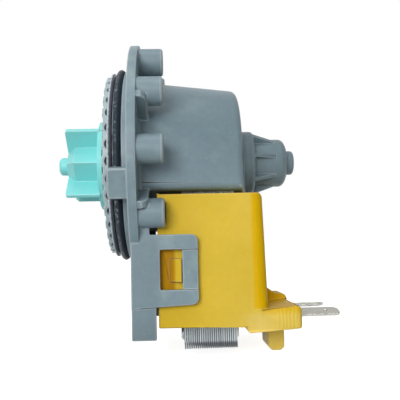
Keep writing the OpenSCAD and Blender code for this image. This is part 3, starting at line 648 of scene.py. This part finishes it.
def sheet_edges_glint_and_shade(tree, look):
    """Bright and dark sheet edges, a painted glint towards the rear, and painted shade round the
    foot.
    """
    which = place(tree, "ShaderNodeAttribute", attribute_name="sheet").outputs["Fac"]
    streak = object_noise(tree, 330, 2, stretch=(3.0, 1, 0.12), offset=(0.3, 0, 0.2))
    # Painted glint on the sheet edges, growing towards the rear of the core.
    painted_glint = times(tree, band(tree, 14, 30, 0), 0.35)
    bright = maths(tree, "MULTIPLY_ADD", which, 0.45, maths(tree, "SUBTRACT", streak, 0.40))
    bright = maths(tree, "ADD", bright, painted_glint, clamp=True)
    edge_colour = blend(tree, bright, "#6E797E", "#C9D2D6")
    # Painted shade: a dark band round the foot of the core.
    foot = times(tree, band(tree, -56.3, -57.0), 0.85)
    joined = blend(tree, 0.25, edge_colour, look)
    return blend(tree, foot, joined, "#3D4247")


lamination_steel = metal("lamination_steel", "#C4CCD0", "#7B868B", 0.45, scale=300,
                         stretch=(6, 1, 0.3), metallic=0.35, tint=sheet_edges_glint_and_shade)
laminated = add_piece("laminated_core_work", bpy.data.meshes.new("laminated_core_work"))
stacking = laminated.modifiers.new("stacking", "NODES")
stacking.node_group = stack_tree
set_inputs(stacking, {"Sheet": core_sheet, "Sheets": sheet_count, "Pitch": sheet_pitch,
                      "First": core_low.x + (sheet_pitch - sheet_t) / 2, "Misfit": misfit,
                      "Steel": lamination_steel})
laminated = applied(laminated, "laminated_core")
bpy.data.objects.remove(core_sheet)
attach(laminated, "stator")
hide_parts("core")

rivet_steel = metal("rivet_steel", "#B9BCBE", "#83878B", 0.35, scale=900)
dress(["core_rivets"], rivet_steel)


# Bobbins: two cream polyamide formers on the core's legs, with a flange at each end and a
# tongue towards the connector.
former_plastic = moulded("former_plastic", "#E4DFC8", 0.45, clouds=0.2, grain=0.15)
dress(["bobbin_left", "bobbin_right"], former_plastic)


# Windings: enamelled copper wire, wound turn beside turn round each bobbin. The outer layer
# is one long wire; the layers under it are closed and show as the ground between the turns.
wire_r = 0.22
wire_sides = 6
turn_pitch = 0.47
wander = 0.04
corner_r = 4.0
corner_steps = 6
ground_inset = Vector((0.5, 0.5, 0.2)) * MM


def winding_route(low, high, rng):
    """The wire's points in mm: a helix on a rounded rectangle, a little uneven by hand."""
    x0, y0 = low.x / MM + wire_r, low.y / MM + wire_r
    x1, y1 = high.x / MM - wire_r, high.y / MM - wire_r
    z0, z1 = low.z / MM + wire_r, high.z / MM - wire_r
    r = corner_r - wire_r
    loop = []
    for cx, cy, first in ((x1 - r, y1 - r, 0), (x0 + r, y1 - r, 90), (x0 + r, y0 + r, 180),
                          (x1 - r, y0 + r, 270)):
        for i in range(corner_steps + 1):
            angle = math.radians(first + 90 * i / corner_steps)
            loop.append((cx + r * math.cos(angle), cy + r * math.sin(angle)))
    lengths = [0]
    for i in range(len(loop)):
        a, b = loop[i], loop[(i + 1) % len(loop)]
        lengths.append(lengths[-1] + math.dist(a, b))
    turns = int((z1 - z0) / turn_pitch)
    points = []
    for turn in range(turns):
        shift = rng.uniform(-wander, wander)
        for (x, y), run in zip(loop, lengths):
            part = run / lengths[-1]
            z = z0 + (turn + part) * (z1 - z0) / turns + shift * math.sin(math.pi * part)
            points.append((x, y, min(max(z, z0), z1)))
    return points


wire_tree, given = geometry_group(
    "wire_along_route",
    [("Wire radius", VALUE), ("Sides", "NodeSocketInt"), ("Enamel", "NodeSocketMaterial")])
route = place(wire_tree, "GeometryNodeMeshToCurve", {"Mesh": given["Geometry"]})
section = place(wire_tree, "GeometryNodeCurvePrimitiveCircle",
                {"Resolution": given["Sides"], "Radius": given["Wire radius"]})
wire = place(wire_tree, "GeometryNodeCurveToMesh",
             {"Curve": route.outputs[0], "Profile Curve": section.outputs[0],
              "Fill Caps": True})
rounder = place(wire_tree, "GeometryNodeSetShadeSmooth", {"Geometry": wire.outputs[0]})
whole = place(wire_tree, "GeometryNodeRealizeInstances", {0: rounder.outputs[0]})
enamelled = place(wire_tree, "GeometryNodeSetMaterial",
                  {"Geometry": whole.outputs[0], "Material": given["Enamel"]})
place(wire_tree, "NodeGroupOutput", {"Geometry": enamelled.outputs[0]})

enamel = metal("copper_enamel", "#C97B45", "#A2582B", 0.3, scale=260, metallic=0.85)
for side, seed in (("left", 11), ("right", 12)):
    node = "winding_" + side
    low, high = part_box(node)
    route_points = winding_route(low, high, random.Random(seed))
    mesh = bpy.data.meshes.new(node + "_work")
    mesh.from_pydata([tuple(c * MM for c in p) for p in route_points],
                     [(i, i + 1) for i in range(len(route_points) - 1)], [])
    wound = add_piece(node + "_work", mesh)
    winding_on = wound.modifiers.new("winding_on", "NODES")
    winding_on.node_group = wire_tree
    set_inputs(winding_on, {"Wire radius": wire_r * MM, "Sides": wire_sides, "Enamel": enamel})
    wound = applied(wound, node + "_turns")
    inner = merged_copy(node)
    size = Vector(high) - Vector(low)
    centre = (Vector(low) + Vector(high)) / 2
    smaller = [(size[i] - ground_inset[i]) / size[i] for i in range(3)]
    bmesh.ops.transform(inner, verts=inner.verts, matrix=(
        Matrix.Translation(centre) @ Matrix.Diagonal((*smaller, 1)) @ Matrix.Translation(-centre)))
    inner.from_mesh(wound.data)
    inner.to_mesh(wound.data)
    inner.free()
    wound.data.shade_smooth()
    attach(wound, "stator")
    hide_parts(node)


# Coil cover: a yellow nylon hood over the coils, with the connector block and latch peg
# moulded on. It slides on from behind and snaps into the bracket's windows with two barbs.
def cover_colour_and_shade(tree):
    """Yellow with painted shade, deeper near the arms, at the rear corner, behind the arm and on
    the connector block's top; paler on the block's side, and painted light makes the latch peg
    paler."""
    thick = place(tree, "ShaderNodeMapRange",
                  {"Value": object_noise(tree, 45, 2, offset=(0.1, 0.3, 0.2)),
                   "From Min": 0.4, "From Max": 0.7, "To Max": 0.5}).outputs[0]
    side = blend(tree, thick, "#DABA40", "#DEC058")
    # Painted shade: a deeper yellow near the arms.
    shade_near_arm = times(tree, band(tree, 25, 14, 0), 0.6)
    # Painted shade on the rear rounded corner.
    rear = times(tree, band(tree, 35.4, 36.3, 0), band(tree, -46.5, -45.8), 0.95)
    # Painted shadow of the arm on the cover in the window.
    arm_shadow = times(tree, band(tree, 13.4, 12.4, 0), times(
        tree, band(tree, -41.5, -40.5), band(tree, -26.0, -27.5)), 0.95)
    fade = maths(tree, "MULTIPLY_ADD", band(tree, 44.0, 37.0, 0), 0.35, 0.2)
    block = times(tree, times(tree, band(tree, -46.6, -48.5), band(tree, 31.5, 37.0, 0)), fade)
    # Painted shade on the connector block's top face.
    block_top_shade = times(tree, band(tree, -48.6, -46.8), band(tree, 37.2, 38.2, 0), 0.6)
    # Painted light: the latch peg under the block made paler.
    peg = times(tree, band(tree, -52.2, -52.8), 0.9)
    for mask, code in ((shade_near_arm, "#D0AC22"), (rear, "#D9AD03"), (arm_shadow, "#AC7A04"),
                       (block, "#EAD27C"), (block_top_shade, "#DDB000"), (peg, "#FFDE6A")):
        side = blend(tree, mask, side, code)
    return side


def connector_ripples(tree):
    """Soft upright ripples where the block's side shrank round the terminals."""
    coords = place(tree, "ShaderNodeTexCoord").outputs["Object"]
    waves = place(tree, "ShaderNodeTexWave",
                  {"Vector": coords, "Scale": 290.0, "Distortion": 3.0, "Detail": 2.0},
                  bands_direction="X").outputs["Fac"]
    where = times(tree, band(tree, 41.5, 43.0, 0), band(tree, 49.6, 48.8, 0),
                  band(tree, -52.3, -52.0))
    return times(tree, waves, where, 4.0)


yellow_nylon = moulded("yellow_nylon", None, 0.42, clouds=0.24, grain=0.1, wear_and_highlight=0.05, dust=0.08,
                       relief=0.3, specular=0.25, ior=1.2, tint=cover_colour_and_shade,
                       ripples=connector_ripples)
cover = softened("coil_cover", "coil_cover_moulding", 0.4 * MM, angle=40)
cover.data.materials.append(yellow_nylon)
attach(cover, "stator")
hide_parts("coil_cover")


# Terminals: two spade blades of tinned brass, stamped and pushed into the connector block,
# dull, with tool marks along their edges and painted glints in short white steps.
def stamped_marks_and_glints(tree, look):
    """Dark tool marks and white painted glints in short steps along the stamped edges."""
    coords = place(tree, "ShaderNodeTexCoord").outputs["Object"]
    steps = place(tree, "ShaderNodeTexNoise",
                  {"Vector": coords, "Scale": 1400, "Detail": 2}).outputs["Fac"]
    marks = place(tree, "ShaderNodeMapRange", {"Value": steps, "From Min": 0.48,
                                               "From Max": 0.56}).outputs[0]
    rounded = place(tree, "ShaderNodeAttribute", attribute_name="edge").outputs["Fac"]
    # On the rounded edges: white steps are painted glints, the dark ones tool marks.
    return blend(tree, rounded, look, blend(tree, marks, "#6F706B", "#FAFAF8"))


tinned = metal("tinned_brass", "#C0C0B7", "#A5A59D", 0.42, scale=500, stretch=(0.4, 2, 2),
               metallic=0.6, tint=stamped_marks_and_glints)
for side in ("left", "right"):
    blade = softened("terminal_" + side, "terminal_blade_" + side, 0.1 * MM, angle=50)
    blade.data.materials.append(tinned)
    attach(blade, "stator")
    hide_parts("terminal_" + side)


# Thermal fuse: a small tinned can between the windings, which opens if the coils overheat.
dress(["thermal_fuse"], metal("fuse_can", "#C9C9C4", "#A6A6A0", 0.35, scale=600))


# Rotor: a ferrite magnet with two plastic end caps on a ground steel shaft, fibre washers at
# both ends, and the dog that takes the impeller along once its free travel is used up.
ground_steel = metal("ground_steel", "#D2D4D6", "#AEB1B4", 0.22, scale=260, stretch=(0.2, 6, 6))
sintered_ferrite = moulded("sintered_ferrite", "#3A3836", 0.55, clouds=0.2, grain=0.4,
                           relief=0.5)
end_plastic = moulded("rotor_end_plastic", "#D8D6CC", 0.45, grain=0.15)
washer_fibre = moulded("washer_fibre", "#6B5A45", 0.6, clouds=0.3, grain=0.4)
dog_plastic = moulded("dog_plastic", "#CFE6E4", 0.4, grain=0.12)
dress(["rotor_shaft"], ground_steel)
dress(["rotor_magnet"], sintered_ferrite)
dress(["rotor_cap_front", "rotor_cap_rear"], end_plastic)
dress(["thrust_washer_front", "thrust_washer_rear"], washer_fibre)
dress(["drive_dog"], dog_plastic)


# Impeller: a turquoise acetal moulding, four straight vanes round a square hub on a thin disc,
# loose on the shaft's dog, with a closing ring welded in behind.
disc_t = 1.5
disc_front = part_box("impeller")[1].x / MM - disc_t


def hub_share(middle):
    """Finer rounding where the vanes run into hub and disc, so that neighbours don't cross."""
    radius = middle.yz.length
    at_disc_rim = radius > 13.5 and middle.x > disc_front - 0.7
    vane_tip_or_nose = radius > 11.5 or middle.x < -22.6
    if at_disc_rim:
        return 0.25
    if vane_tip_or_nose:
        return 1
    return 0.25 if middle.x < -18 else 0.55


acetal = moulded("turquoise_acetal", "#84DAD9", 0.34, clouds=0.1, grain=0.06, wear_and_highlight=0.22,
                 dust=0.04, relief=0.15, specular=0.5, ior=1.3)
impeller = softened("impeller", "impeller_moulding", 0.3 * MM, share=hub_share)
impeller.data.materials.append(acetal)
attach(impeller, "impeller_body")
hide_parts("impeller")
dress(["impeller_ring"], acetal)
